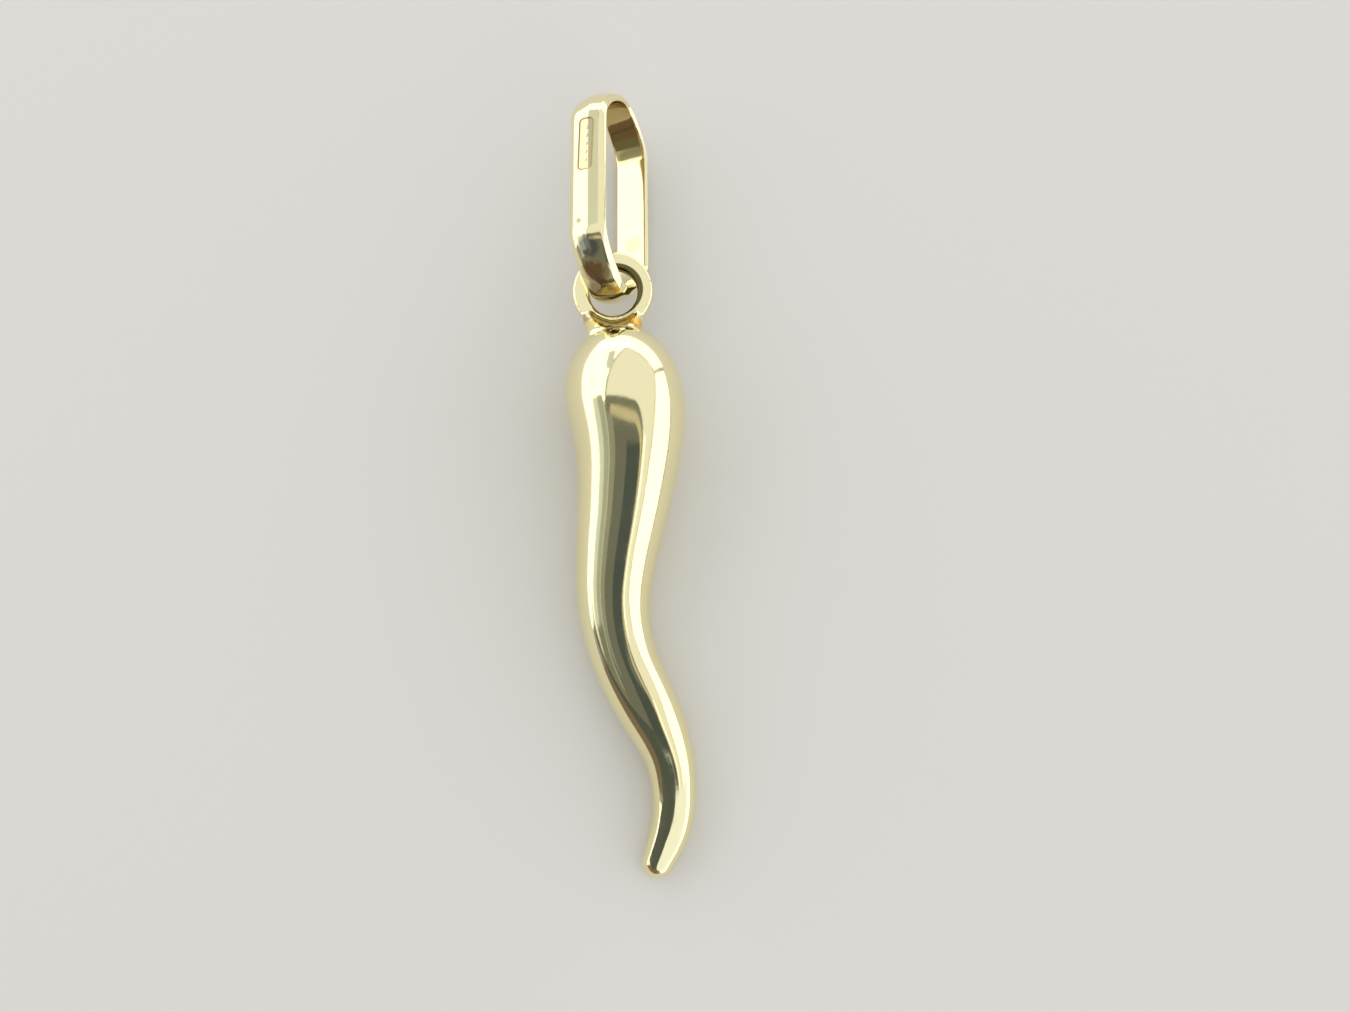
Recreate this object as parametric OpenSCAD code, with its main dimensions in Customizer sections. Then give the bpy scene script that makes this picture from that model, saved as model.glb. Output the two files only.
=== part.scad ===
// Gold horn pendant: a hollow, curved horn with a round loop soldered on its head,
// and a long band bail threaded through the loop. It lies on its side on a flat surface.
// Millimetres. Y runs along the pendant towards the bail, Z is up, the surface is at zero,
// and the origin is under the middle of the pendant's outline.

/* [Horn] */
// Length of the horn from its tip to the top of its head
horn_len = 21.55; // [21:0.05:22]
// Greatest radius of the head
head_r = 2.38; // [2.2:0.02:2.5]
// How far the rounded top of the head reaches past its widest place
dome_len = 2.95; // [2.7:0.01:3.1]
// Length of the rounding at the tip
tip_len = 0.6; // [0.5:0.01:0.75]
// Thickness of the horn's hollow wall
wall = 0.3; // [0.25:0.01:0.4]
// Diameter of the vent in the head, beside the solder
vent_d = 0.34; // [0.25:0.01:0.45]

/* [Loop] */
// Outer radius of the loop
loop_r = 1.65; // [1.62:0.01:1.7]
// Width of the loop's wire, seen from above
wire_w = 0.54; // [0.45:0.01:0.56]
// Depth of the loop's wire, from its upper to its lower side
wire_h = 0.56; // [0.5:0.01:0.65]
// Sideways place of the loop's centre, from the horn's own middle line
loop_side = -0.82; // [-0.9:0.01:-0.8]
// Height of the loop's centre
loop_rise = 2.3; // [2.2:0.01:2.35]
// Angle that the loop's far side is raised by
loop_pitch = 4; // [2:0.5:6]
// Angle that the loop's right side is raised by
loop_roll = 7; // [5:0.5:9]
// How far the loop's wire sinks into the head
loop_sink = 0.08; // [0.05:0.01:0.15]

/* [Bail] */
// Length of the bail from end to end
bail_len = 9.05; // [8.9:0.05:9.3]
// Distance between the middles of the two legs
leg_gap = 4.05; // [3.9:0.05:4.2]
// Length of the straight stretch of each leg
leg_len = 4.8; // [4.4:0.1:5.2]
// Width of the band
band_w = 1.58; // [1.45:0.01:1.65]
// Thickness of the band
band_t = 0.5; // [0.45:0.01:0.6]
// Bevel on the band's edges
band_bevel = 0.12; // [0.08:0.01:0.14]
// How much the band's outer face swells in the middle
band_crown = 0.1; // [0.05:0.01:0.12]
// Angle that the bail leans over from lying flat on a leg's edge
bail_lean = 60; // [57:0.5:62]
// Angle that the loop lifts the bail's near end by
bail_lift = 2.5; // [2:0.1:3]
// Sideways place of the bail's middle, from the loop's centre
bail_side = -0.06; // [-0.1:0.01:0]
// How far the bail's near end reaches in past the loop's far side
bail_reach = 1.92; // [1.88:0.01:1.96]

/* [Hidden] */
GOLD = [0.89, 0.83, 0.55];

// The horn's sections from tip to head. The columns are the distance from the tip, and
// the sideways place, height and radius of the section.
HORN_ROWS = [
    [ 0.0,  0.84, 0.61, 0.60],
    [ 0.6,  1.05, 0.66, 0.63],
    [ 1.4,  1.42, 0.78, 0.76],
    [ 2.6,  1.66, 0.86, 0.83],
    [ 4.2,  1.56, 0.98, 0.94],
    [ 5.4,  1.16, 1.12, 1.10],
    [ 6.6,  0.56, 1.26, 1.24],
    [ 8.0, -0.14, 1.31, 1.28],
    [ 9.4, -0.56, 1.38, 1.36],
    [10.8, -0.71, 1.49, 1.47],
    [12.4, -0.60, 1.66, 1.63],
    [14.2, -0.36, 1.90, 1.84],
    [16.0, -0.19, 2.15, 2.07],
    [17.4, -0.18, 2.33, 2.28],
    [18.6, -0.34, 2.41, 2.38],
    [20.0, -0.56, 2.42, 2.38],
    [21.5, -0.80, 2.40, 2.38],
];
// Radius of the widest section in the rows above
WIDEST_ROW = 2.38;
// The horn is hollow from this distance on
HOLLOW_FROM = 1.6;

// Corners round the horn's outer and inner wall
OUTER_SIDES = 30;
INNER_SIDES = 18;
// Steps along the horn's tip, body and domed head
TIP_STEPS = 5;
BODY_STEPS = 36;
DOME_STEPS = 9;

// Corners round the loop, its wire and a drop of solder
LOOP_SIDES = 42;
WIRE_SIDES = 12;
DROP_SIDES = 12;
// How squarely the wire's section is drawn: 1 is an ellipse, 0 a rectangle
WIRE_ROUND = 0.7;
// How far the solder reaches round the loop from its foot, and in how many steps a side
SOLDER_ANGLE = 59;
SOLDER_STEPS = 4;
// Share of the wire's width that a drop of solder on it takes
WIRE_SHARE = 0.88;
// Share of that angle that the solder reaches round the head, and its drops' radius and depth there
HEAD_SHARE = 0.32;
HEAD_DROP_R = 0.3;
HEAD_DROP_DEPTH = 0.36;
// The vent's angle above the horn's axis, its place beside the axis, and its corners
VENT_ANGLE = 64;
VENT_SIDE = -0.24;
VENT_SIDES = 16;

// Fullness of the bail's ends: 0.55 is an ellipse, less is nearer to a straight chamfer
END_FULL = 0.38;
END_STEPS = 14;
LEG_STEPS = 4;

// Slope of column k at row i, and the row that starts the span holding s
function slope(rows, i, k) =
    let (a = max(i - 1, 0), b = min(i + 1, len(rows) - 1))
    (rows[b][k] - rows[a][k]) / (rows[b][0] - rows[a][0]);
function span(rows, s, i = 0) =
    i >= len(rows) - 2 || s < rows[i + 1][0] ? i : span(rows, s, i + 1);

// Value of column k at distance s, on a smooth curve through the rows
function smooth(rows, s, k) =
    let (
        c = min(max(s, rows[0][0]), rows[len(rows) - 1][0]),
        i = span(rows, c),
        h = rows[i + 1][0] - rows[i][0],
        t = (c - rows[i][0]) / h
    )
    rows[i][k] * (1 + t * t * (2 * t - 3))
    + rows[i + 1][k] * t * t * (3 - 2 * t)
    + h * slope(rows, i, k) * t * (1 - t) * (1 - t)
    - h * slope(rows, i + 1, k) * t * t * (1 - t);

function unit(v) = v / norm(v);
function lowest(points) = min([for (p = points) p[2]]);

// A point of the horn's axis, and the axis's direction there
function axis(s) = [smooth(HORN_ROWS, s, 1), s, smooth(HORN_ROWS, s, 2)];
function heading(s) = unit(axis(s + 0.1) - axis(s - 0.1));

// Stations along the horn: distance from the tip and share of the section's radius,
// rounded at the tip and over the last stretch, dome
function stations(from, to, dome) = concat(
    [for (i = [0 : TIP_STEPS - 1]) let (a = 90 * i / TIP_STEPS)
        [from + tip_len * (1 - cos(a)), sin(a)]],
    [for (i = [0 : BODY_STEPS - 1])
        [from + tip_len + (to - dome - from - tip_len) * i / BODY_STEPS, 1]],
    [for (i = [0 : DOME_STEPS]) let (a = 90 * i / DOME_STEPS)
        [to - dome * (1 - sin(a)), cos(a)]]
);

// One round section of the horn, thinner than its outside by thin
function section(st, sides, thin) =
    let (
        t = heading(st[0]),
        across = unit(cross(t, [0, 0, 1])),
        up = cross(across, t),
        r = (smooth(HORN_ROWS, st[0], 3) * head_r / WIDEST_ROW - thin) * st[1]
    )
    [for (j = [0 : sides - 1]) let (a = 360 * j / sides)
        axis(st[0]) + r * (cos(a) * across + sin(a) * up)];

// All points of a body of round sections, with a single point at each end
function body_points(sts, sides, thin) = concat(
    [axis(sts[0][0])],
    [for (i = [1 : len(sts) - 2]) each section(sts[i], sides, thin)],
    [axis(sts[len(sts) - 1][0])]
);

OUTSIDE = body_points(stations(0, horn_len, dome_len), OUTER_SIDES, 0);
INSIDE = body_points(stations(HOLLOW_FROM, horn_len - wall, dome_len - wall), INNER_SIDES, wall);

// The closed body through such points
module round_body(points, sides) {
    top = len(points) - 1;
    rings = (len(points) - 2) / sides;
    function at(i, j) = 1 + i * sides + j % sides;
    polyhedron(points, concat(
        [for (j = [0 : sides - 1]) [0, at(0, j + 1), at(0, j)]],
        [for (i = [0 : rings - 2], j = [0 : sides - 1]) each [
            [at(i, j), at(i + 1, j + 1), at(i + 1, j)],
            [at(i, j), at(i, j + 1), at(i + 1, j + 1)]
        ]],
        [for (j = [0 : sides - 1]) [top, at(rings - 1, j), at(rings - 1, j + 1)]]
    ), convexity = 4);
}

// Puts its children at the loop's centre, in the loop's plane
module at_loop() {
    translate([loop_side, horn_len + loop_r - loop_sink, loop_rise])
        rotate([loop_pitch, -loop_roll, 0]) children();
}

module loop() {
    function round_off(v) = sign(v) * pow(abs(v), WIRE_ROUND);
    at_loop() rotate_extrude($fn = LOOP_SIDES) translate([loop_r - wire_w / 2, 0])
        polygon([for (j = [0 : WIRE_SIDES - 1]) let (a = 360 * (j + 0.5) / WIRE_SIDES)
            [wire_w / 2 * round_off(cos(a)), wire_h / 2 * round_off(sin(a))]]);
}

// A drop of solder on the wire, and one on the head, at an angle from the loop's foot
module wire_drop(a) {
    at_loop() rotate([0, 0, a]) translate([0, wire_w / 2 - loop_r, 0])
        sphere(d = wire_w * WIRE_SHARE, $fn = DROP_SIDES);
}
module head_drop(a) {
    s = horn_len - dome_len * (1 - cos(a));
    translate(axis(s) + [head_r * sin(a), -HEAD_DROP_DEPTH, 0])
        sphere(HEAD_DROP_R, $fn = DROP_SIDES);
}

// Solder that flares from the loop's foot to both sides of the head
module solder() {
    for (side = [-1, 1], j = [0 : SOLDER_STEPS - 1])
        hull() {
            for (a = side * SOLDER_ANGLE * [j, j + 1] / SOLDER_STEPS) {
                wire_drop(a);
                head_drop(a * HEAD_SHARE);
            }
        }
}

module vent() {
    translate(axis(horn_len - dome_len / 2) + [VENT_SIDE, 0, 0]) rotate([VENT_ANGLE - 90, 0, 0])
        cylinder(d = vent_d, h = dome_len, $fn = VENT_SIDES);
}

// The band's section: across its width, and outwards from its middle
BAND = [
    [-band_w / 2 + band_bevel, -band_t / 2],
    [band_w / 2 - band_bevel, -band_t / 2],
    [band_w / 2, -band_t / 2 + band_bevel],
    [band_w / 2, band_t / 2 - 2 * band_bevel],
    [band_w / 2 - band_bevel, band_t / 2 - band_crown],
    [band_w / 4, band_t / 2 - band_crown / 3],
    [0, band_t / 2],
    [-band_w / 4, band_t / 2 - band_crown / 3],
    [-band_w / 2 + band_bevel, band_t / 2 - band_crown],
    [-band_w / 2, band_t / 2 - 2 * band_bevel],
    [-band_w / 2, -band_t / 2 + band_bevel],
];

// One quarter of the band's path: half of a straight leg, then a curve that closes to the end
leg_half = leg_len / 2;
end_run = (bail_len - band_t) / 2 - leg_half;
function end_curve(t) =
    let (u = 1 - t, k = 3 * END_FULL)
    [leg_gap / 2 * (u * u * u + 3 * t * u * u + k * t * t * u),
     leg_half + end_run * (k * t * u * u + 3 * t * t * u + t * t * t)];
QUARTER = concat(
    [for (i = [0 : LEG_STEPS - 1]) [leg_gap / 2, leg_half * i / LEG_STEPS]],
    [for (i = [0 : END_STEPS]) end_curve(i / END_STEPS)]
);
q = len(QUARTER) - 1;
PATH = concat(
    [for (i = [0 : q - 1]) QUARTER[i]],
    [for (i = [0 : q - 1]) [-QUARTER[q - i][0], QUARTER[q - i][1]]],
    [for (i = [0 : q - 1]) -QUARTER[i]],
    [for (i = [0 : q - 1]) [QUARTER[q - i][0], -QUARTER[q - i][1]]]
);

// Turns a point of the upright bail over by its lean, and lifts its near end
function leaned(p) =
    let (
        x = p[0] * cos(bail_lean) + p[2] * sin(bail_lean),
        z = p[2] * cos(bail_lean) - p[0] * sin(bail_lean)
    )
    [x, p[1] * cos(bail_lift) + z * sin(bail_lift), z * cos(bail_lift) - p[1] * sin(bail_lift)];

// The band's section carried round its path
n = len(PATH);
BAIL_POINTS = [for (i = [0 : n - 1])
    let (
        along = unit(PATH[(i + 1) % n] - PATH[(i + n - 1) % n]),
        out = [along[1], -along[0]]
    )
    for (b = BAND) leaned([PATH[i][0] + out[0] * b[1], PATH[i][1] + out[1] * b[1], b[0]])];

// Both pieces rest on the surface, and the origin is under the middle of their outline
horn_low = lowest(OUTSIDE);
loop_far = horn_len + 2 * loop_r - loop_sink;
bail_place = [loop_side + bail_side, loop_far - bail_reach + bail_len / 2, -lowest(BAIL_POINTS)];
ALL_X = concat([for (p = OUTSIDE) p[0]], [for (p = BAIL_POINTS) p[0] + bail_place[0]]);
bail_far = max([for (p = BAIL_POINTS) p[1] + bail_place[1]]);
middle = [(min(ALL_X) + max(ALL_X)) / 2, bail_far / 2, 0];

module horn() {
    color(GOLD) translate([0, 0, -horn_low] - middle) difference() {
        union() {
            round_body(OUTSIDE, OUTER_SIDES);
            loop();
            solder();
        }
        round_body(INSIDE, INNER_SIDES);
        vent();
    }
}

module bail() {
    m = len(BAND);
    function at(i, j) = (i % n) * m + j % m;
    color(GOLD) translate(bail_place - middle)
        polyhedron(BAIL_POINTS, [for (i = [0 : n - 1], j = [0 : m - 1]) each [
            [at(i, j), at(i + 1, j + 1), at(i, j + 1)],
            [at(i, j), at(i + 1, j), at(i + 1, j + 1)]
        ]], convexity = 6);
}

horn();
bail();
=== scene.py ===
import math

import bmesh
import bpy
from mathutils import Matrix, Vector


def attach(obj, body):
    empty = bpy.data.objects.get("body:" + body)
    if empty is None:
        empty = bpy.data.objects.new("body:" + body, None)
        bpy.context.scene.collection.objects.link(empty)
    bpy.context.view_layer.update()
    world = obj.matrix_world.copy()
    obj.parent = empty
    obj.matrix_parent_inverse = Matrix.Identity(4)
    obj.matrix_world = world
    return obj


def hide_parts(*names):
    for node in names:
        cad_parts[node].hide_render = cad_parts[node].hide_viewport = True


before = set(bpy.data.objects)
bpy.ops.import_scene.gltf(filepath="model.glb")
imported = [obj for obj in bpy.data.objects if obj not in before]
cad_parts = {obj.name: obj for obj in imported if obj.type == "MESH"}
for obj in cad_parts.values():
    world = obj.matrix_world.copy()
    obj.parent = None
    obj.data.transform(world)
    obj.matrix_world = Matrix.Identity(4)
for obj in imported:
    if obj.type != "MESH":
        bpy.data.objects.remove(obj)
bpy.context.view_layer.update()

mm = 0.001  # the pieces are modelled in millimetres and shrunk to metres when finished
print("frame loaded:", sorted(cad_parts))


# Shared by all pieces

tipPlace = Vector((0.106, -15.948, -0.027))  # where the horn's own measures start, in the frame
doubleDistance = 1e-5
sortLine = Vector((0.37, 1.0, 0.73))  # slanted, so that mirrored places don't rank alike


def sortParts(bm):
    # operators make edges and faces in another order each run, and the fused skin would change with it
    bm.verts.index_update()
    count = len(bm.verts)

    def rank(part):
        first, second, *others = sorted(vert.index for vert in part.verts)
        return (first * count + second) * count + max(others, default=0)

    bm.edges.sort(key=rank)
    bm.faces.sort(key=rank)


def newObject(name, bm):
    bm.verts.sort(key=lambda vert: vert.co.dot(sortLine))
    bmesh.ops.remove_doubles(bm, verts=bm.verts, dist=doubleDistance)
    sortParts(bm)
    bmesh.ops.recalc_face_normals(bm, faces=bm.faces)
    mesh = bpy.data.meshes.new(name)
    bm.to_mesh(mesh)
    bm.free()
    piece = bpy.data.objects.new(name, mesh)
    bpy.context.scene.collection.objects.link(piece)
    return piece


def subdivide(piece, levels):
    surface = piece.modifiers.new("Subdivision", "SUBSURF")
    surface.levels = surface.render_levels = levels


def applyModifiers(piece):
    graph = bpy.context.evaluated_depsgraph_get()
    shaped = bpy.data.meshes.new_from_object(piece.evaluated_get(graph))
    piece.modifiers.clear()
    piece.data = shaped
    return piece


def finishPiece(piece, material, node):
    piece.data.transform(Matrix.Scale(mm, 4) @ Matrix.Translation(tipPlace))
    piece.data.materials.clear()
    piece.data.materials.append(material)
    for face in piece.data.polygons:
        face.use_smooth = True
    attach(piece, "root")
    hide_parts(node)
    print(piece.name, "has", sum(len(f.vertices) - 2 for f in piece.data.polygons), "triangles")


def extrudeThrough(bm, edges, places):
    # draws a closed ring of edges through a row of places, and gives back the last ring's edges
    for before, after in zip(places, places[1:]):
        made = bmesh.ops.extrude_edge_only(bm, edges=edges)["geom"]
        verts = [part for part in made if isinstance(part, bmesh.types.BMVert)]
        known = set(verts)
        edges = [
            part for part in made
            if isinstance(part, bmesh.types.BMEdge) and set(part.verts) <= known
        ]
        bmesh.ops.transform(bm, matrix=after @ before.inverted(), verts=verts)
    return edges


def closeToPoint(bm, edges, point):
    made = bmesh.ops.extrude_edge_only(bm, edges=edges)["geom"]
    verts = [part for part in made if isinstance(part, bmesh.types.BMVert)]
    bmesh.ops.pointmerge(bm, verts=verts, merge_co=point)


def addTo(bm, part):
    mesh = bpy.data.meshes.new("part")
    part.to_mesh(mesh)
    part.free()
    bm.from_mesh(mesh)
    bpy.data.meshes.remove(mesh)


# The horn

hornLook = {
    # from the tip, sideways, height and radius of each section
    "sections": (
        (0.0, 0.84, 0.61, 0.60),
        (0.6, 1.05, 0.66, 0.63),
        (1.4, 1.42, 0.78, 0.76),
        (2.6, 1.66, 0.86, 0.83),
        (4.2, 1.56, 0.98, 0.94),
        (5.4, 1.16, 1.12, 1.10),
        (6.6, 0.56, 1.26, 1.24),
        (8.0, -0.14, 1.31, 1.28),
        (9.4, -0.56, 1.38, 1.36),
        (10.8, -0.71, 1.49, 1.47),
        (12.4, -0.60, 1.66, 1.63),
        (14.2, -0.36, 1.90, 1.84),
        (16.0, -0.19, 2.15, 2.07),
        (17.4, -0.18, 2.33, 2.28),
        (18.6, -0.34, 2.41, 2.38),
        (20.0, -0.56, 2.42, 2.38),
        (21.5, -0.80, 2.40, 2.38),
    ),
    "length": 21.55,
    "domeLength": 2.95,
    "tipLength": 0.6,
    "sides": 24,
    "sectionSpacing": 0.95,
    "smoothing": 3,
    "tipAngles": (22, 46, 68),  # of the sections where the tip rounds over, degrees
    "domeAngles": (18, 34, 48, 60, 71, 81),
    "headingStep": 0.1,
    "ventDiameter": 0.34,
    "ventSides": 24,
    "ventFrom": 1.3,  # the drill starts so far out from the middle of the head
    "ventAngle": 64,  # above the middle line, degrees
    "ventSide": -0.24,
    "ventInside": (1.06, 1.01),  # shares of its radius where the painted shade inside the hole ends and where it is full
    "polish": (0.5, 1.3, 1.0),  # how much of the gold's scratches, mottle and waves
    # centre in the frame, reach, unevenness and colour of each stain
    "stains": (((-1.56, 2.82, 4.36), 0.2, 0.2, (0.72, 0.72, 0.46, 1)),),
}


def hornMeasure(column, s):
    # a smooth value between the table's rows, with each row's slope taken from its neighbours
    rows = hornLook["sections"]
    last = len(rows) - 1
    s = min(max(s, rows[0][0]), rows[last][0])
    i = max(k for k in range(last) if rows[k][0] <= s)

    def slope(k):
        a, b = rows[max(k - 1, 0)], rows[min(k + 1, last)]
        return (b[column] - a[column]) / (b[0] - a[0])

    gap = rows[i + 1][0] - rows[i][0]
    t = (s - rows[i][0]) / gap
    return (
        rows[i][column] * (1 + t * t * (2 * t - 3))
        + rows[i + 1][column] * t * t * (3 - 2 * t)
        + gap * slope(i) * t * (1 - t) ** 2
        - gap * slope(i + 1) * t * t * (1 - t)
    )


def hornAxis(s):
    return Vector((hornMeasure(1, s), s, hornMeasure(2, s)))


def hornHeading(s):
    step = hornLook["headingStep"]
    return (hornAxis(s + step) - hornAxis(s - step)).normalized()


def hornStations():
    # distance from the tip and share of the radius, denser where the ends round over
    look = hornLook
    tipEnd = look["tipLength"]
    bodyEnd = look["length"] - look["domeLength"]
    tip = [(tipEnd * (1 - math.cos(a)), math.sin(a)) for a in map(math.radians, look["tipAngles"])]
    steps = round((bodyEnd - tipEnd) / look["sectionSpacing"])
    body = [(tipEnd + (bodyEnd - tipEnd) * i / steps, 1) for i in range(steps + 1)]
    dome = [
        (bodyEnd + look["domeLength"] * math.sin(a), math.cos(a))
        for a in map(math.radians, look["domeAngles"])
    ]
    return tip + body + dome


def cagePlaces():
    # the subdivided skin runs inside its cage, so each section is pushed out by what it will lose
    stations = hornStations()
    shrink = 2 / 3 + math.cos(2 * math.pi / hornLook["sides"]) / 3
    rows = [(*hornAxis(s), hornMeasure(3, s) * share) for s, share in stations]
    places = []
    for i, row in enumerate(rows):
        before = rows[i - 1] if i else (*hornAxis(0), 0)
        after = rows[i + 1] if i + 1 < len(rows) else (*hornAxis(hornLook["length"]), 0)
        x, y, z, radius = (c - (a - 2 * c + b) / 6 for a, c, b in zip(before, row, after))
        forward = hornHeading(stations[i][0])
        across = forward.cross(Vector((0, 0, 1))).normalized()
        turn = Matrix((across, across.cross(forward), forward)).transposed().to_4x4()
        places.append(Matrix.Translation((x, y, z)) @ turn @ Matrix.Scale(radius / shrink, 4))
    return places


def makeHornBody():
    bm = bmesh.new()
    places = cagePlaces()
    bmesh.ops.create_circle(bm, segments=hornLook["sides"], radius=1, matrix=places[0])
    firstEdges = bm.edges[:]
    lastEdges = extrudeThrough(bm, firstEdges, places)
    closeToPoint(bm, lastEdges, hornAxis(hornLook["length"]))
    closeToPoint(bm, firstEdges, hornAxis(0))
    body = newObject("hornBody", bm)
    subdivide(body, hornLook["smoothing"])
    return applyModifiers(body)


def ventStart():
    look = hornLook
    return hornAxis(look["length"] - look["domeLength"] / 2) + Vector((look["ventSide"], 0, 0))


def drillVent(*pieces):
    look = hornLook
    start = ventStart()
    turn = Matrix.Rotation(math.radians(look["ventAngle"] - 90), 4, "X")
    bm = bmesh.new()
    radius = look["ventDiameter"] / 2
    reach = 2 * look["domeLength"]
    outwards = Matrix.Translation((0, 0, reach / 2 + look["ventFrom"]))
    bmesh.ops.create_cone(
        bm, segments=look["ventSides"], cap_ends=True, radius1=radius, radius2=radius, depth=reach,
        matrix=Matrix.Translation(start) @ turn @ outwards,
    )
    drill = newObject("ventDrill", bm)
    for piece in pieces:
        cut = piece.modifiers.new("Vent", "BOOLEAN")
        cut.operation = "DIFFERENCE"
        cut.solver = "EXACT"
        cut.object = drill
        applyModifiers(piece)
    bpy.data.objects.remove(drill)


# The loop and its solder

loopLook = {
    "radius": 1.65,
    "wireWidth": 0.58,
    "wireHeight": 0.6,
    "wireRounding": 0.15,
    "cornerSteps": 4,
    "ringSteps": 96,
    "side": -0.82,
    "rise": 2.3,
    "pitch": 4,  # degrees, far side up
    "roll": 7,  # degrees, right side up
    "sink": 0.08,
    "openingShare": 0.91,  # of what the wire's thickness leaves
    "openingShift": (0.04, -0.06),
    "voxel": 0.03,
    "settle": 16,
    "settleStrength": 0.5,
}

solderLook = {
    "reach": 56,  # degrees round the loop on each side of its foot
    "steps": 4,
    "wireSink": 0.1,  # below the wire's middle
    "wireDrop": 0.2,
    "headDrop": 0.3,
    "topDrop": 0.28,
    "dropDetail": 2,
    "headDepth": 0.3,
    "spread": 0.78,  # along the head on each side
    "climb": 1.0,  # up the head above its middle
    "fall": 0.35,
    # further lumps: across, above the middle, depth and radius
    "lumps": ((-0.6, 0.6, 0.12, 0.3), (0.62, 0.78, 0.1, 0.32), (0.3, 1.0, 0.22, 0.26)),
    "lumpDetail": 3,
    "footShare": 0.4,  # of the loop's radius, where the wire ends and the solder starts
    "settle": 40,
    "skirtFrom": 19.9,  # where the patch of head under the solder starts
    "skirtDepth": 0.02,
    "polish": (1.0, 1.6, 1.5),
    "grain": 0.16,
    "grainDepth": 0.01,
    # centre in the frame, reach, unevenness and colour of each stain
    "stains": (
        ((-1.25, 5.5, 2.8), 0.62, 0.35, (0.93, 0.78, 0.3, 1)),
        ((-0.7, 5.45, 3.3), 0.42, 0.3, (0.7, 0.52, 0.2, 1)),
        ((-0.02, 5.6, 2.95), 0.6, 0.35, (0.85, 0.52, 0.12, 1)),
        ((-1.78, 6.02, 2.65), 0.42, 0.3, (0.55, 0.48, 0.34, 1)),
    ),
    "roughness": 0.12,  # more than the gold's
    # painted shade inside the loop's opening
    "insideShadeColour": (0.13, 0.11, 0.045, 1),
    "insideRadius": (1.12, 1.07),  # where the painted shade ends and where it is full
    "insideShift": (0.16, 0.03),
    # painted shade: the inside of the vent hole is coloured dark
    "holeShadeColour": (0.1, 0.07, 0.03, 1),
}


def loopPlace():
    look = loopLook
    centre = Vector((look["side"], hornLook["length"] + look["radius"] - look["sink"], look["rise"]))
    roll = Matrix.Rotation(math.radians(-look["roll"]), 4, "Y")
    pitch = Matrix.Rotation(math.radians(look["pitch"]), 4, "X")
    return Matrix.Translation(centre) @ roll @ pitch


def bendWire(bm, place):
    look = loopLook
    corners = [(-1, -1), (1, -1), (1, 1), (-1, 1)]
    middle = look["radius"] - look["wireWidth"] / 2
    verts = [
        bm.verts.new(place @ Vector((middle + x * look["wireWidth"] / 2, 0, z * look["wireHeight"] / 2)))
        for x, z in corners
    ]
    bm.faces.new(verts)
    bmesh.ops.bevel(
        bm, geom=verts, offset=look["wireRounding"], segments=look["cornerSteps"], profile=0.5,
        affect="VERTICES", material=-1,
    )
    bmesh.ops.delete(bm, geom=bm.faces[:], context="FACES_ONLY")
    bmesh.ops.spin(
        bm, geom=bm.verts[:] + bm.edges[:], cent=place.translation,
        axis=place.to_3x3() @ Vector((0, 0, 1)),
        angle=2 * math.pi, steps=look["ringSteps"], use_merge=True,
    )
    # the opening is a little smaller than the wire's thickness leaves, and not in its middle
    toRing = place.inverted()
    inner = [vert for vert in bm.verts if (toRing @ vert.co).xy.length < middle]
    bmesh.ops.scale(bm, vec=(look["openingShare"],) * 3, space=toRing, verts=inner)
    bmesh.ops.translate(bm, vec=place.to_3x3() @ Vector((*look["openingShift"], 0)), verts=inner)


def headPoint(across, up, depth):
    # a place on the round of the head, so far to the side and above its middle, and so deep under its skin
    look = hornLook
    share = min(math.hypot(across, up) / hornMeasure(3, look["length"]), 1)
    forward = look["domeLength"] * math.sqrt(1 - share ** 2)
    middle = hornAxis(look["length"])
    middle.y = look["length"] - look["domeLength"]
    return middle + Vector((across, forward - depth, up))


def addDrop(bm, at, radius, detail):
    bmesh.ops.create_icosphere(bm, subdivisions=detail, radius=radius, matrix=Matrix.Translation(at))


def flowSolder(bm, place):
    # a row of lumps on each side, each stretched over drops on the wire and on the head
    look = solderLook
    middle = loopLook["radius"] - loopLook["wireWidth"] / 2
    for side in (-1, 1):
        for step in range(look["steps"]):
            lump = bmesh.new()
            for share in (step, step + 1):
                angle = math.radians(side * look["reach"] * share / look["steps"])
                onRing = Vector((middle * math.sin(angle), -middle * math.cos(angle), -look["wireSink"]))
                across = side * look["spread"] * share / look["steps"]
                low = headPoint(across, 0, look["headDepth"])
                high = headPoint(across, look["climb"] - abs(across) * look["fall"], look["headDepth"])
                addDrop(lump, place @ onRing, look["wireDrop"], look["dropDetail"])
                addDrop(lump, low, look["headDrop"], look["dropDetail"])
                addDrop(lump, high, look["topDrop"], look["dropDetail"])
            hull = bmesh.ops.convex_hull(lump, input=lump.verts[:])
            inside = [part for part in hull["geom_interior"] if isinstance(part, bmesh.types.BMVert)]
            bmesh.ops.delete(lump, geom=inside, context="VERTS")
            addTo(bm, lump)
    for across, up, depth, radius in look["lumps"]:
        addDrop(bm, headPoint(across, up, depth), radius, look["lumpDetail"])


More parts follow.
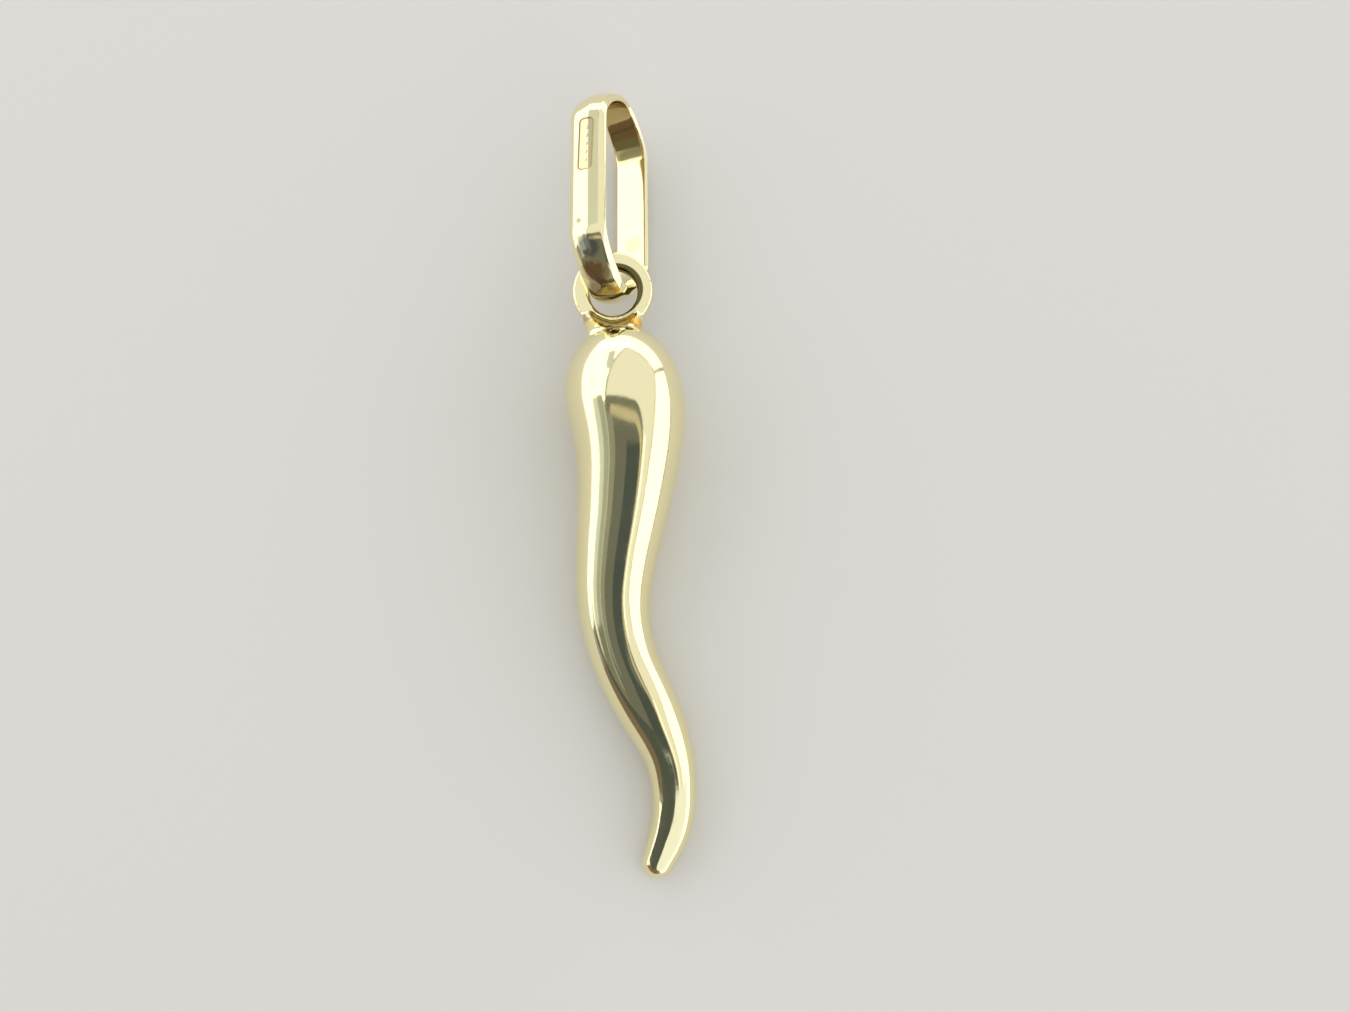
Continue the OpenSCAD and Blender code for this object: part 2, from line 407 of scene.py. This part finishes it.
def makeLoop(body):
    bm = bmesh.new()
    place = loopPlace()
    bendWire(bm, place)
    flowSolder(bm, place)
    # a patch of the head just under its skin, so that the solder runs out on it
    skirt = bmesh.new()
    skirt.from_mesh(body.data)
    bmesh.ops.bisect_plane(
        skirt, geom=skirt.verts[:] + skirt.edges[:] + skirt.faces[:],
        plane_co=(0, solderLook["skirtFrom"], 0), plane_no=(0, 1, 0), clear_inner=True,
    )
    rim = [edge for edge in skirt.edges if edge.is_boundary]
    bmesh.ops.holes_fill(skirt, edges=rim)
    skirt.normal_update()
    for vert in skirt.verts:
        vert.co -= vert.normal * solderLook["skirtDepth"]
    addTo(bm, skirt)
    loop = newObject("loopAndSolder", bm)
    fuse = loop.modifiers.new("Fuse", "REMESH")
    fuse.mode = "VOXEL"
    fuse.voxel_size = loopLook["voxel"]
    applyModifiers(loop)
    # the solder has flowed rounder than the wire
    foot = loop.vertex_groups.new(name="foot")
    footLine = place.translation.y - loopLook["radius"] * solderLook["footShare"]
    foot.add([vert.index for vert in loop.data.vertices if vert.co.y < footLine], 1.0, "REPLACE")
    for name, iterations in (("", loopLook["settle"]), ("foot", solderLook["settle"])):
        flow = loop.modifiers.new("Flow", "SMOOTH")
        flow.factor = loopLook["settleStrength"]
        flow.iterations = iterations
        flow.vertex_group = name
    return applyModifiers(loop)


# The bail

bailLook = {
    "length": 9.05,
    "legGap": 4.05,
    "legLength": 4.8,
    "thickness": 0.5,
    # corners of the band's section: outwards, across its width, and whether the corner is firm
    "section": (
        (0.25, -0.2, False), (0.25, 0.06, False), (0.185, 0.29, False), (0.09, 0.61, True),
        (-0.15, 0.77, True), (-0.25, 0.66, True), (-0.25, 0.3, False), (-0.25, -0.3, False),
        (-0.25, -0.67, True), (-0.13, -0.79, True), (0.02, -0.79, True), (0.14, -0.72, True),
        (0.23, -0.5, False),
    ),
    "cornerRounding": 0.025,
    "endFullness": 0.38,  # how far the slanted ends bulge
    "endSteps": 10,
    "legSteps": 3,
    "footStretch": 1.1,  # the end in the loop is drawn out a little
    "lean": 60,  # degrees over from lying flat on a leg's edge
    "lift": 2.5,  # degrees
    "side": -0.88,
    "reach": 1.92,  # how far it passes in through the loop
    "smoothing": 3,
    "polish": (0.8, 1.0, 1.2),
    "middle": (-0.774, 11.427, 2.321),  # of the finished bail, in the frame
    # painted shade inside the far end's curve
    "insideShadeColour": (0.6, 0.45, 0.2, 1),
    "insideFrom": (2.3, 2.9),  # along the bail, where the painted shade on its inside begins and where it is full
    "insideHalf": (0.66, 0.6),  # from the band's middle line, where the painted shade ends and where it is full
    "insideRim": (0.97, 0.91),  # the same towards the end's outer side, as shares of its outline
    # centre in the bail's own frame, reach, unevenness and colour of each stain or darker patch
    "stains": (
        ((1.77, -1.45, 0.1), 0.45, 0.5, (0.93, 0.78, 0.4, 1)),
        ((-2.28, -2.22, -0.25), 0.15, 0.12, (0.42, 0.4, 0.26, 1)),
        # this one darkens the lower bend to olive
        ((-1.93, -3.22, 0.02), 0.52, 0.25, (0.42, 0.4, 0.32, 1)),
        ((-1.3, -4.0, -0.1), 0.58, 0.4, (0.55, 0.4, 0.22, 1)),
        ((-0.6, -4.5, -0.1), 0.75, 0.3, (0.36, 0.29, 0.15, 1)),
    ),
}

# the stamped place on the left leg, a shallow rounded panel with a row of plain dots standing in it
stampLook = {
    "centre": (-2.275, 1.1, 0.0),
    "length": 2.3,
    "width": 0.62,
    "rounding": 0.2,
    "tilt": 2,  # degrees
    "depth": 0.016,
    "edge": 0.05,
    "rimShare": (0.3, 1.1),  # of the edge's width, from its middle to where its dark line fades and ends
    "dots": 5,
    "dotSpacing": 0.36,
    "dotRadius": 0.1,
    "dotTop": 0.04,
    "margin": (0.3, 0.15, 0.1),  # through the band, along it and across it, where the mesh is made finer
    "alongCuts": 4,
    "acrossCuts": 1,
    "grime": 0.32,  # in the sunk panel, against its rim
    "colour": (0.3, 0.2, 0.09, 1),
}


def bailTurn():
    lean = Matrix.Rotation(math.radians(bailLook["lean"]), 4, "Y")
    lift = Matrix.Rotation(math.radians(-bailLook["lift"]), 4, "X")
    return lift @ lean


def bailPath():
    look = bailLook
    half = look["legLength"] / 2
    run = (look["length"] - look["thickness"]) / 2 - half
    quarter = [
        Vector((look["legGap"] / 2, half * i / look["legSteps"])) for i in range(look["legSteps"])
    ]
    for i in range(look["endSteps"] + 1):
        t = i / look["endSteps"]
        u, full = 1 - t, 3 * look["endFullness"]
        quarter.append(Vector((
            look["legGap"] / 2 * (u ** 3 + 3 * t * u * u + full * t * t * u),
            half + run * (full * t * u * u + 3 * t * t * u + t ** 3),
        )))
    turned = [Vector((-p.x, p.y)) for p in reversed(quarter)]
    farHalf = quarter[:-1] + turned[:-1]
    return farHalf + [-p for p in farHalf]


def bailPlaces():
    path = bailPath()
    count = len(path)
    places = []
    for i, point in enumerate(path):
        before, after = path[i - 1], path[(i + 1) % count]
        pushed = point - (before - 2 * point + after) / 6
        along = (after - before).normalized()
        turn = Matrix(((along.y, 0, along.x), (-along.x, 0, along.y), (0, 1, 0))).to_4x4()
        places.append(Matrix.Translation((pushed.x, pushed.y, 0)) @ turn)
    return places


def firmCorners(points):
    # a corner made of two close points stays a corner when the band is smoothed
    held = []
    for i, (x, y, firm) in enumerate(points):
        here = Vector((x, y))
        if not firm:
            held.append(here)
            continue
        for other in (points[i - 1], points[(i + 1) % len(points)]):
            held.append(here + (Vector(other[:2]) - here).normalized() * bailLook["cornerRounding"])
    return held


def bandSection(bm, place):
    # the local x points out of the ring and the local y along the band's width
    verts = [bm.verts.new(place @ corner.to_3d()) for corner in firmCorners(bailLook["section"])]
    return [bm.edges.new((verts[i - 1], verts[i])) for i in range(len(verts))]


def easeStep(value, start, end):
    t = min(max((value - start) / (end - start), 0), 1)
    return t * t * (3 - 2 * t)


def pressStamp(bail):
    look = stampLook
    place = Matrix.Translation(look["centre"]) @ Matrix.Rotation(math.radians(look["tilt"]), 4, "X")
    toStamp = place.inverted()
    halfLength = look["length"] / 2
    halfWidth = look["width"] / 2
    lastDot = look["dots"] // 2
    rimFull, rimEnd = (look["edge"] * share for share in look["rimShare"])
    through, along, across = look["margin"]
    bm = bmesh.new()
    bm.from_mesh(bail.data)

    def nearStamp(vert):
        at = toStamp @ vert.co
        return abs(at.x) < through and abs(at.y) < halfLength + along and abs(at.z) < halfWidth + across

    for lengthwise, cuts in ((True, look["alongCuts"]), (False, look["acrossCuts"])):
        edges = []
        for edge in bm.edges:
            start, end = edge.verts
            run = end.co - start.co
            if nearStamp(start) and nearStamp(end) and (abs(run.y) > abs(run.z)) == lengthwise:
                edges.append(edge)
        bmesh.ops.subdivide_edges(bm, edges=edges, cuts=cuts, use_grid_fill=True)
    bm.normal_update()
    grime = bm.verts.layers.float.new("grime")
    for vert in bm.verts:
        at = toStamp @ vert.co
        if not nearStamp(vert):
            continue
        pastY = max(abs(at.y) - halfLength + look["rounding"], 0)
        pastZ = max(abs(at.z) - halfWidth + look["rounding"], 0)
        outside = math.hypot(pastY, pastZ) - look["rounding"]
        sunk = easeStep(outside, 0, -look["edge"])
        nearest = min(max(round(at.y / look["dotSpacing"]), -lastDot), lastDot)
        away = math.hypot(at.y - nearest * look["dotSpacing"], at.z)
        dot = easeStep(away, look["dotRadius"], look["dotTop"])
        rim = 1 - easeStep(abs(outside + look["edge"] / 2), rimFull, rimEnd)
        vert[grime] = max(rim, sunk * (1 - dot) * look["grime"])
        vert.co -= vert.normal * look["depth"] * sunk * (1 - dot)
    bm.to_mesh(bail.data)
    bm.free()


def makeBail():
    look = bailLook
    bm = bmesh.new()
    places = bailPlaces()
    firstEdges = bandSection(bm, places[0])
    lastEdges = extrudeThrough(bm, firstEdges, places)
    bmesh.ops.bridge_loops(bm, edges=firstEdges + lastEdges)
    foot = [vert for vert in bm.verts if vert.co.y < -look["legLength"] / 2]
    fromLeg = Matrix.Translation((0, look["legLength"] / 2, 0))
    bmesh.ops.scale(bm, vec=(1, look["footStretch"], 1), space=fromLeg, verts=foot)
    bail = newObject("bandBail", bm)
    subdivide(bail, look["smoothing"])
    applyModifiers(bail)
    pressStamp(bail)
    bail.data.transform(bailTurn())
    low = min(vert.co.z for vert in bail.data.vertices)
    loopFar = hornLook["length"] + 2 * loopLook["radius"] - loopLook["sink"]
    along = loopFar - look["reach"] + look["length"] / 2
    bail.data.transform(Matrix.Translation((look["side"], along, -low - tipPlace.z)))
    return bail


# Gold

goldLook = {
    "colour": (0.93, 0.87, 0.57, 1),
    "deepColour": (0.91, 0.82, 0.48, 1),
    "toneSize": 4,
    "roughness": 0.07,
    "wornRoughness": 0.2,
    # turn in degrees, width and length of each set of polishing scratches
    "scratches": ((18, 0.03, 1.5), (-47, 0.025, 1.1), (84, 0.03, 1.9)),
    "scratchShare": (0.6, 0.76),  # of the noise that makes a scratch
    "scratchDepth": 0.00014,
    "scratchWear": 0.5,
    "mottleSize": 0.13,
    "mottleDepth": 0.0006,
    "waveSize": 1.7,
    "waveDepth": 0.006,
    "patchSize": 0.9,  # of the duller patches
    "patchShare": (0.45, 0.75),  # of the noise that makes a patch
    "patchWear": 0.35,
    "stainGrain": 0.22,
    "stainEdge": (1.0, 0.55),  # of its reach, where a stain ends and where it is full
}


def addNode(tree, kind, inputs, **settings):
    node = tree.nodes.new("ShaderNode" + kind)
    for name, value in settings.items():
        setattr(node, name, value)
    for socket, value in inputs.items():
        if isinstance(value, bpy.types.NodeSocket):
            tree.links.new(value, node.inputs[socket])
        else:
            node.inputs[socket].default_value = value
    return node


def calculate(tree, operation, *values):
    return addNode(tree, "Math", dict(enumerate(values)), operation=operation).outputs[0]


def fade(tree, value, start, end):
    # nothing at start, all at end
    settings = {"Value": value, "From Min": start, "From Max": end}
    return addNode(tree, "MapRange", settings, interpolation_type="SMOOTHSTEP").outputs["Result"]


def blend(tree, mask, first, second):
    mixed = {"Factor": mask, 6: first, 7: second}
    return addNode(tree, "Mix", mixed, data_type="RGBA").outputs[2]


def noise(tree, vector, size, detail=2):
    settings = {"Vector": vector, "Scale": 1 / (size * mm), "Detail": detail}
    return addNode(tree, "TexNoise", settings).outputs["Fac"]


def newGroup(name, inputs, outputs):
    group = bpy.data.node_groups.new(name, "ShaderNodeTree")
    for side, sockets in (("INPUT", inputs), ("OUTPUT", outputs)):
        for socket, kind in sockets.items():
            group.interface.new_socket(socket, in_out=side, socket_type="NodeSocket" + kind)
    return group, group.nodes.new("NodeGroupInput"), group.nodes.new("NodeGroupOutput")


def useGroup(tree, name, inputs):
    placed = tree.nodes.new("ShaderNodeGroup")
    placed.node_tree = bpy.data.node_groups[name]
    for socket, value in inputs.items():
        if isinstance(value, bpy.types.NodeSocket):
            tree.links.new(value, placed.inputs[socket])
        else:
            placed.inputs[socket].default_value = value
    return placed.outputs


def product(tree, *values):
    result = values[0]
    for value in values[1:]:
        result = calculate(tree, "MULTIPLY", result, value)
    return result


def fromAxis(tree, vector):
    # how far a place is from the upright axis of its own frame
    flat = addNode(tree, "VectorMath", {0: vector, 1: (1, 1, 0)}, operation="MULTIPLY").outputs[0]
    return addNode(tree, "VectorMath", {0: flat}, operation="LENGTH").outputs["Value"]


def ownFrame(tree, place, centre, turn):
    settings = {"Vector": place, "Location": Vector(centre) * mm, "Rotation": turn.to_euler()}
    return addNode(tree, "Mapping", settings, vector_type="TEXTURE").outputs[0]


def makePolishedGold():
    # the gold's colour, roughness and relief, with fine scratches from polishing in all directions
    look = goldLook
    inputs = {"Vector": "Vector", "Scratches": "Float", "Mottle": "Float", "Waves": "Float"}
    outputs = {"Color": "Color", "Roughness": "Float", "Height": "Float"}
    group, given, result = newGroup("polishedGold", inputs, outputs)
    place = given.outputs["Vector"]
    marks = None
    for turn, width, length in look["scratches"]:
        stretched = addNode(group, "Mapping", {
            "Vector": place,
            "Rotation": (0, 0, math.radians(turn)),
            "Scale": (width * mm, length * mm, length * mm),
        }, vector_type="TEXTURE").outputs[0]
        grain = addNode(group, "TexNoise", {"Vector": stretched, "Scale": 1, "Detail": 1})
        lines = fade(group, grain.outputs["Fac"], *look["scratchShare"])
        marks = lines if marks is None else calculate(group, "MAXIMUM", marks, lines)
    mottle = noise(group, place, look["mottleSize"], detail=4)
    waves = noise(group, place, look["waveSize"], detail=1)
    height = product(group, marks, given.outputs["Scratches"], -look["scratchDepth"] * mm)
    for pattern, amount, depth in ((mottle, "Mottle", "mottleDepth"), (waves, "Waves", "waveDepth")):
        part = product(group, pattern, given.outputs[amount], look[depth] * mm)
        height = calculate(group, "ADD", height, part)
    patches = fade(group, noise(group, place, look["patchSize"], detail=3), *look["patchShare"])
    worn = product(group, patches, look["patchWear"])
    wear = calculate(group, "MULTIPLY_ADD", marks, look["scratchWear"], worn)
    rough = addNode(group, "MapRange", {
        "Value": wear, "To Min": look["roughness"], "To Max": look["wornRoughness"],
    }).outputs["Result"]
    tone = blend(group, noise(group, place, look["toneSize"]), look["colour"], look["deepColour"])
    group.links.new(tone, result.inputs["Color"])
    group.links.new(rough, result.inputs["Roughness"])
    group.links.new(height, result.inputs["Height"])


def makeStain():
    # a soft uneven spot round a place on the piece
    inputs = {"Vector": "Vector", "Centre": "Vector", "Reach": "Float", "Unevenness": "Float"}
    group, given, result = newGroup("stain", inputs, {"Mask": "Float"})
    place = given.outputs["Vector"]
    between = {0: place, 1: given.outputs["Centre"]}
    away = addNode(group, "VectorMath", between, operation="DISTANCE").outputs["Value"]
    grain = noise(group, place, goldLook["stainGrain"], detail=3)
    ragged = calculate(group, "SUBTRACT", grain, 0.5)
    edge = calculate(group, "MULTIPLY_ADD", ragged, given.outputs["Unevenness"], away)
    share = calculate(group, "DIVIDE", edge, given.outputs["Reach"])
    group.links.new(fade(group, share, *goldLook["stainEdge"]), result.inputs["Mask"])


def makeVentHole():
    # all inside the drilled hole, nothing outside it; the hole's inside is painted dark as shade
    look = hornLook
    group, given, result = newGroup("ventHole", {"Vector": "Vector"}, {"Mask": "Float"})
    turn = Matrix.Rotation(math.radians(look["ventAngle"] - 90), 4, "X")
    away = fromAxis(group, ownFrame(group, given.outputs["Vector"], ventStart() + tipPlace, turn))
    end, full = (look["ventDiameter"] / 2 * share * mm for share in look["ventInside"])
    group.links.new(fade(group, away, end, full), result.inputs["Mask"])


def startGold(name, polish):
    material = bpy.data.materials.new(name)
    material.use_nodes = True
    tree = material.node_tree
    place = addNode(tree, "TexCoord", {}).outputs["Object"]
    scratches, mottle, waves = polish
    amounts = {"Vector": place, "Scratches": scratches, "Mottle": mottle, "Waves": waves}
    made = useGroup(tree, "polishedGold", amounts)
    return material, tree, place, made["Color"], made["Roughness"], made["Height"]


def finishGold(tree, tone, rough, height):
    shader = tree.nodes["Principled BSDF"]
    shader.inputs["Metallic"].default_value = 1
    relief = addNode(tree, "Bump", {"Height": height, "Distance": 1.0})
    tree.links.new(tone, shader.inputs["Base Color"])
    tree.links.new(rough, shader.inputs["Roughness"])
    tree.links.new(relief.outputs["Normal"], shader.inputs["Normal"])


def addStain(tree, place, centre, reach, unevenness):
    spot = {"Centre": Vector(centre) * mm, "Reach": reach * mm, "Unevenness": unevenness * mm}
    return useGroup(tree, "stain", {"Vector": place, **spot})["Mask"]


def makeHornGold():
    material, tree, place, tone, rough, height = startGold("hornGold", hornLook["polish"])
    for centre, reach, unevenness, colour in hornLook["stains"]:
        tone = blend(tree, addStain(tree, place, centre, reach, unevenness), tone, colour)
    # painted shade inside the vent hole
    hole = useGroup(tree, "ventHole", {"Vector": place})["Mask"]
    tone = blend(tree, hole, tone, solderLook["holeShadeColour"])
    finishGold(tree, tone, rough, height)
    return material


def makeLoopGold():
    look = solderLook
    material, tree, place, tone, rough, height = startGold("loopGold", look["polish"])
    solder = None
    for centre, reach, unevenness, colour in look["stains"]:
        spot = addStain(tree, place, centre, reach, unevenness)
        tone = blend(tree, spot, tone, colour)
        solder = spot if solder is None else calculate(tree, "MAXIMUM", solder, spot)
    grain = noise(tree, place, look["grain"], detail=3)
    uneven = product(tree, grain, solder, look["grainDepth"] * mm)
    height = calculate(tree, "ADD", height, uneven)
    rough = calculate(tree, "MULTIPLY_ADD", solder, look["roughness"], rough)
    # painted shade: the loop's inner wall and the edge of its face round the opening are coloured dark
    # brown
    ring = loopPlace()
    ring.translation += Vector((*look["insideShift"], 0))
    away = fromAxis(tree, ownFrame(tree, place, ring.translation + tipPlace, ring))
    inside = fade(tree, away, *(radius * mm for radius in look["insideRadius"]))
    tone = blend(tree, inside, tone, look["insideShadeColour"])
    # painted shade inside the vent hole
    hole = useGroup(tree, "ventHole", {"Vector": place})["Mask"]
    tone = blend(tree, hole, tone, look["holeShadeColour"])
    finishGold(tree, tone, rough, height)
    return material


def makeBailGold():
    look = bailLook
    material, tree, place, tone, rough, height = startGold("bailGold", look["polish"])
    local = ownFrame(tree, place, look["middle"], bailTurn())
    grime = addNode(tree, "Attribute", {}, attribute_name="grime").outputs["Fac"]
    tone = blend(tree, grime, tone, stampLook["colour"])
    # painted shade: the inside of the far end's curve is coloured brown
    legEnd = look["legLength"] / 2
    between = {0: local, 1: (0, legEnd * mm, 0)}
    fromEnd = addNode(tree, "VectorMath", between, operation="SUBTRACT").outputs[0]
    across = look["legGap"] / 2 * mm
    onwards = ((look["length"] - look["thickness"]) / 2 - legEnd) * mm
    shares = {0: fromEnd, 1: (1 / across, 1 / onwards, 0)}
    oval = addNode(tree, "VectorMath", shares, operation="MULTIPLY").outputs[0]
    oval = addNode(tree, "VectorMath", {0: oval}, operation="LENGTH").outputs["Value"]
    parts = addNode(tree, "SeparateXYZ", {0: local}).outputs
    far = fade(tree, parts["Y"], *(y * mm for y in look["insideFrom"]))
    aside = calculate(tree, "ABSOLUTE", parts["Z"])
    within = fade(tree, aside, *(z * mm for z in look["insideHalf"]))
    inside = product(tree, fade(tree, oval, *look["insideRim"]), far, within)
    tone = blend(tree, inside, tone, look["insideShadeColour"])
    for centre, reach, unevenness, colour in look["stains"]:
        tone = blend(tree, addStain(tree, local, centre, reach, unevenness), tone, colour)
    finishGold(tree, tone, rough, height)
    return material


# Studio

studioLook = {
    "floorSize": 1.6,
    "floorColour": (0.62, 0.61, 0.59, 1),
    "floorRoughness": 0.8,
    "betweenPanels": (0.34, 0.33, 0.31, 1),  # seen where two panels don't quite meet
    "height": 200,  # of the panels overhead
    "turn": -26,  # of the whole room about the upright, degrees
    "white": (1.0, 1.0, 1.0),
    "cream": (0.98, 1.0, 0.98),
    # centre of each panel, the way it faces and its size, in heights, then its brightness and colour
    "panels": {
        "overhead": ((0.16, 0.2, 1.0), "down", (1.8, 3.3), 0.6, "cream"),
        "overheadLeft": ((-2.2, 0.3, 1.0), "down", (2.8, 5.4), 1.3, "white"),
        "left": ((-3.6, -0.1, 0.5), "right", (6.2, 1.0), 1.3, "white"),
        "far": ((-0.975, 1.93, 0.5), "near", (4.05, 0.98), 1.3, "white"),
        "right": ((1.1, 0.1, 0.52), "left", (3.4, 0.94), 1.3, "white"),
    },
    # height, rounding, colour and corners of each level card, in millimetres
    "levelCards": {
        "rim": (
            45, 13, (0.2, 0.21, 0.17), ((-44, -44), (21, -44), (21, 2.5), (-44, 2.5)),
        ),
        "arch": (
            44.9, 9, (0.62, 0.56, 0.42), ((-33, -45), (21, -45), (21, -19), (17, -2.5), (-33, -2.5)),
        ),
        "middle": (
            44.8, 7, (0.16, 0.17, 0.16), ((-40, -46), (18.5, -46), (18.5, -19), (13.5, -7), (-40, -7)),
        ),
        "leftShade": (
            44.75, 3, (0.3, 0.31, 0.28), ((-40, -27), (-27, -27), (-27, -7), (-40, -7)),
        ),
        "deep": (
            44.7, 1.5, (0.07, 0.09, 0.1), ((-6, -47), (18.5, -47), (18.5, -19), (15, -12), (-6, -12)),
        ),
        "leftLine": (
            44.6, 0.5, (0.6, 0.62, 0.58), ((-44.5, -38), (-41.5, -38), (-41.5, -1), (-44.5, -1)),
        ),
        "rightLine": (
            44.6, 0.5, (1.3, 1.3, 1.3), ((22, -44), (27, -44), (26.5, -10), (21.5, -10)),
        ),
        "farLeftCard": (
            45, 3, (0.68, 0.72, 0.7), ((-32, 30), (-18, 30), (-19, 74), (-35, 74)),
        ),
        # these two hang low over the tip
        "tipShade": (
            8, 0.2, (0.085, 0.1, 0.1),
            ((-40, -19.5), (-12, -19.5), (-7, -24), (-2, -24), (1.5, -14.8), (-40, -14.8)),
        ),
        "tipLight": (
            7.9, 0.2, (1.0, 1.04, 1.1),
            ((2.6, -14.9), (0.5, -15.9), (-1, -17.6), (-1.4, -20), (0, -26), (14, -32), (16, -15.2)),
        ),
    },
    # rounding, colour and corners of each sloping card
    "slopingCards": {
        "leftCard": (
            2, (0.4, 0.43, 0.4), ((-45, -60, 45), (-45, 3, 45), (-53, 3, 36), (-53, -60, 36)),
        ),
        "lowLeftCard": (
            2, (0.68, 0.74, 0.74), ((-53, -30, 36), (-53, 2, 36), (-58, 2, 27), (-59, -34, 20)),
        ),
        "nearLeftCard": (
            2, (0.2, 0.21, 0.18), ((-43.5, -50, 44), (-43.5, -24, 44), (-56, -24, 26), (-56, -50, 26)),
        ),
        "flag": (
            4, (0.2, 0.16, 0.12), ((-71, -39, 0), (-3, -84, 0), (-3, -84, 70), (-71, -39, 70)),
        ),
    },
    "cardCornerSteps": 6,
}


def makePanel(name):
    look = studioLook
    centre, facing, size, brightness, colour = look["panels"][name]
    turn = Matrix.Rotation(math.radians(look["turn"]), 4, "Z")
    standing = Matrix.Rotation(math.radians(-90), 4, "X")
    faces = {
        "down": Matrix(),
        "near": standing,
        "right": Matrix.Rotation(math.radians(90), 4, "Z") @ standing,
        "left": Matrix.Rotation(math.radians(-90), 4, "Z") @ standing,
    }[facing]
    data = bpy.data.lights.new(name, "AREA")
    data.shape = "RECTANGLE"
    data.size = size[0] * look["height"] * mm
    data.size_y = size[1] * look["height"] * mm
    data.energy = brightness * math.pi * data.size * data.size_y
    data.color = look[colour]
    lamp = bpy.data.objects.new(name, data)
    lamp.matrix_world = turn @ Matrix.Translation(Vector(centre) * look["height"] * mm) @ faces
    lamp.visible_camera = False
    bpy.context.scene.collection.objects.link(lamp)


def makeCard(name, rounding, colour, corners):
    # only the polished metal sees the card
    bm = bmesh.new()
    verts = [bm.verts.new(Vector(corner) * mm) for corner in corners]
    bm.faces.new(verts)
    bmesh.ops.bevel(
        bm, geom=verts, offset=rounding * mm, segments=studioLook["cardCornerSteps"], profile=0.5,
        affect="VERTICES", material=-1,
    )
    mesh = bpy.data.meshes.new(name)
    bm.to_mesh(mesh)
    bm.free()
    card = bpy.data.objects.new(name, mesh)
    bpy.context.scene.collection.objects.link(card)
    material = bpy.data.materials.new(name)
    material.use_nodes = True
    nodes, links = material.node_tree.nodes, material.node_tree.links
    nodes.clear()
    glow = nodes.new("ShaderNodeEmission")
    glow.inputs["Color"].default_value = (*colour, 1)
    out = nodes.new("ShaderNodeOutputMaterial")
    links.new(glow.outputs["Emission"], out.inputs["Surface"])
    mesh.materials.append(material)
    card.visible_camera = card.visible_diffuse = card.visible_shadow = card.visible_transmission = False


def makeFloor():
    bm = bmesh.new()
    bmesh.ops.create_grid(bm, x_segments=1, y_segments=1, size=studioLook["floorSize"] / 2)
    floor = newObject("floor", bm)
    material = bpy.data.materials.new("paleFloor")
    material.use_nodes = True
    shader = material.node_tree.nodes["Principled BSDF"]
    shader.inputs["Base Color"].default_value = studioLook["floorColour"]
    shader.inputs["Roughness"].default_value = studioLook["floorRoughness"]
    floor.data.materials.append(material)


def makeStudio():
    makeFloor()
    for name in studioLook["panels"]:
        makePanel(name)
    for name, (height, rounding, colour, outline) in studioLook["levelCards"].items():
        makeCard(name, rounding, colour, [(x, y, height) for x, y in outline])
    for name, (rounding, colour, corners) in studioLook["slopingCards"].items():
        makeCard(name, rounding, colour, corners)
    world = bpy.data.worlds.new("studio")
    bpy.context.scene.world = world
    world.use_nodes = True
    world.node_tree.nodes["Background"].inputs["Color"].default_value = studioLook["betweenPanels"]
    bpy.context.scene.view_settings.view_transform = "Standard"


cameraLook = {
    "lens": 27.04,
    "sensor": 36,
    "clip": (0.001, 10),
    "place": Vector((-2.082, -9.016, 41.5)),
    "gaze": Vector((0.0960, 0.1825, -0.9785)),
    "up": Vector((-0.0096, 0.9832, 0.1825)),
}


def placeCamera():
    look = cameraLook
    data = bpy.data.cameras.new("camera")
    data.lens = look["lens"]
    data.sensor_width = look["sensor"]
    data.clip_start, data.clip_end = look["clip"]
    camera = bpy.data.objects.new("camera", data)
    right = look["gaze"].cross(look["up"]).normalized()
    turn = Matrix((right, right.cross(look["gaze"]), -look["gaze"])).transposed().to_4x4()
    camera.matrix_world = Matrix.Translation(look["place"] * mm) @ turn
    bpy.context.scene.collection.objects.link(camera)
    bpy.context.scene.camera = camera


placeCamera()
makeStudio()
print("studio set")

makePolishedGold()
makeStain()
makeVentHole()
hornGold = makeHornGold()
loopGold = makeLoopGold()
bailGold = makeBailGold()
print("gold mixed")
hornBody = makeHornBody()
loop = makeLoop(hornBody)
drillVent(hornBody, loop)
finishPiece(hornBody, hornGold, "horn")
finishPiece(loop, loopGold, "horn")
bail = makeBail()
finishPiece(bail, bailGold, "bail")
